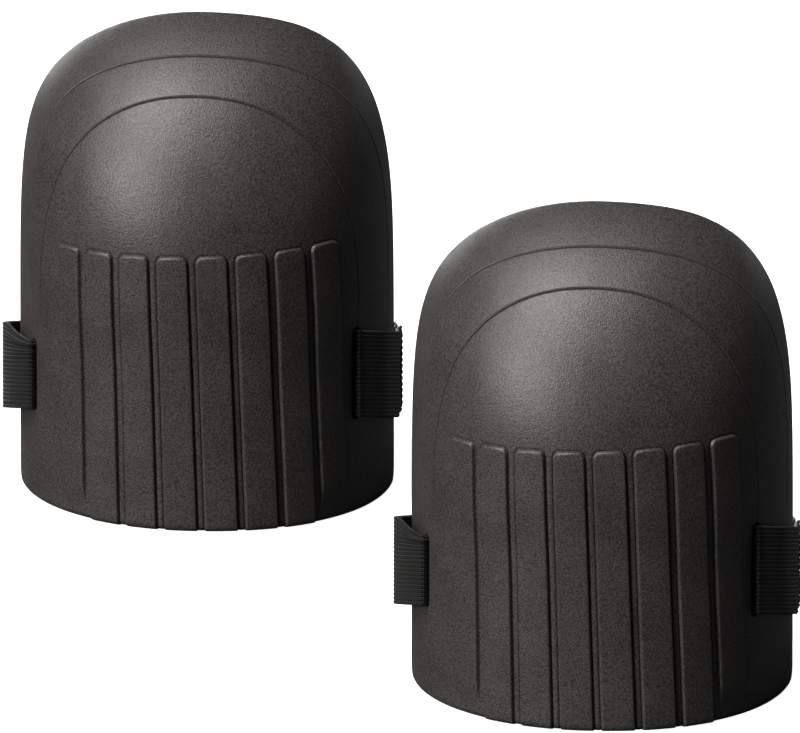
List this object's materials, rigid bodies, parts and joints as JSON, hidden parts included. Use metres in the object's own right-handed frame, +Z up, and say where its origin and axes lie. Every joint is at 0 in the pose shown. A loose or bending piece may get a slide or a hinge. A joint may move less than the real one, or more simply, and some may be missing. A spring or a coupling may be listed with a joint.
{
  "type": "knee pads",
  "caption": "Pair of moulded foam knee pads with stepped skin and ribbed front, each with an elastic hook-and-loop strap behind the knee.",
  "frame": {"origin": "on the floor under the middle of the pair's box", "axes": "+Z up; the pads' fronts face -Y; +X to the right as seen from the front"},
  "size_m": [0.3568, 0.433, 0.209],
  "materials": {
    "moulded_foam": "fine pebbled matte foam skin",
    "liner_foam": "knitted fabric on soft foam",
    "ribbed_webbing": "ribbed woven webbing",
    "woven_elastic": "ribbed woven elastic",
    "loop_pile": "brushed loop pile",
    "hook_tape": "woven tape with moulded hooks",
    "sewing_thread": "bonded thread"
  },
  "bodies": {
    "left_pad": {"left_outer_shell": "moulded_foam", "left_inner_liner": "liner_foam", "left_loop_anchor": "ribbed_webbing", "left_hook_anchor": "ribbed_webbing", "left_loop_anchor_stitch": "sewing_thread", "left_hook_anchor_stitch": "sewing_thread"},
    "left_loop_strap": {"left_loop_strap": "woven_elastic", "left_loop_tape": "loop_pile", "left_loop_tape_stitch": "sewing_thread"},
    "left_hook_strap": {"left_hook_strap": "woven_elastic", "left_tab_stitch": "sewing_thread"},
    "left_hook_tab": {"left_hook_tab": "hook_tape"},
    "right_pad": {"right_outer_shell": "moulded_foam", "right_inner_liner": "liner_foam", "right_loop_anchor": "ribbed_webbing", "right_hook_anchor": "ribbed_webbing", "right_loop_anchor_stitch": "sewing_thread", "right_hook_anchor_stitch": "sewing_thread"},
    "right_loop_strap": {"right_loop_strap": "woven_elastic", "right_loop_tape": "loop_pile", "right_loop_tape_stitch": "sewing_thread"},
    "right_hook_strap": {"right_hook_strap": "woven_elastic", "right_tab_stitch": "sewing_thread"},
    "right_hook_tab": {"right_hook_tab": "hook_tape"}
  },
  "joints": [
    {"name": "left_hook_strap_swing", "type": "hinge", "parent": "left_pad", "child": "left_hook_strap", "pos_m": [-0.01554, 0.16916, 0.04], "axis": [0, 0, -1], "range_deg": [0, 90]},
    {"name": "left_loop_strap_swing", "type": "hinge", "parent": "left_pad", "child": "left_loop_strap", "pos_m": [-0.16854, 0.16916, 0.04], "axis": [0, 0, 1], "range_deg": [0, 45]},
    {"name": "left_hook_tab_peel", "type": "hinge", "parent": "left_hook_strap", "child": "left_hook_tab", "pos_m": [-0.06004, 0.21167, 0.034], "axis": [0, 0, -1], "range_deg": [0, 90]},
    {"name": "right_hook_strap_swing", "type": "hinge", "parent": "right_pad", "child": "right_hook_strap", "pos_m": [0.17346, -0.10004, 0.04], "axis": [0, 0, -1], "range_deg": [0, 90]},
    {"name": "right_loop_strap_swing", "type": "hinge", "parent": "right_pad", "child": "right_loop_strap", "pos_m": [0.02046, -0.10004, 0.04], "axis": [0, 0, 1], "range_deg": [0, 45]},
    {"name": "right_hook_tab_peel", "type": "hinge", "parent": "right_hook_strap", "child": "right_hook_tab", "pos_m": [0.12896, -0.05753, 0.034], "axis": [0, 0, -1], "range_deg": [0, 90]},
    {"name": "pad_spacing", "type": "slide", "parent": "left_pad", "child": "right_pad", "axis": [1, 0, 0], "range_m": [0, 0.06]}
  ],
  "couplings": [
    {"joint": "left_loop_strap_swing", "follows": "left_hook_strap_swing", "ratio": 0.5},
    {"joint": "right_loop_strap_swing", "follows": "right_hook_strap_swing", "ratio": 0.5}
  ]
}
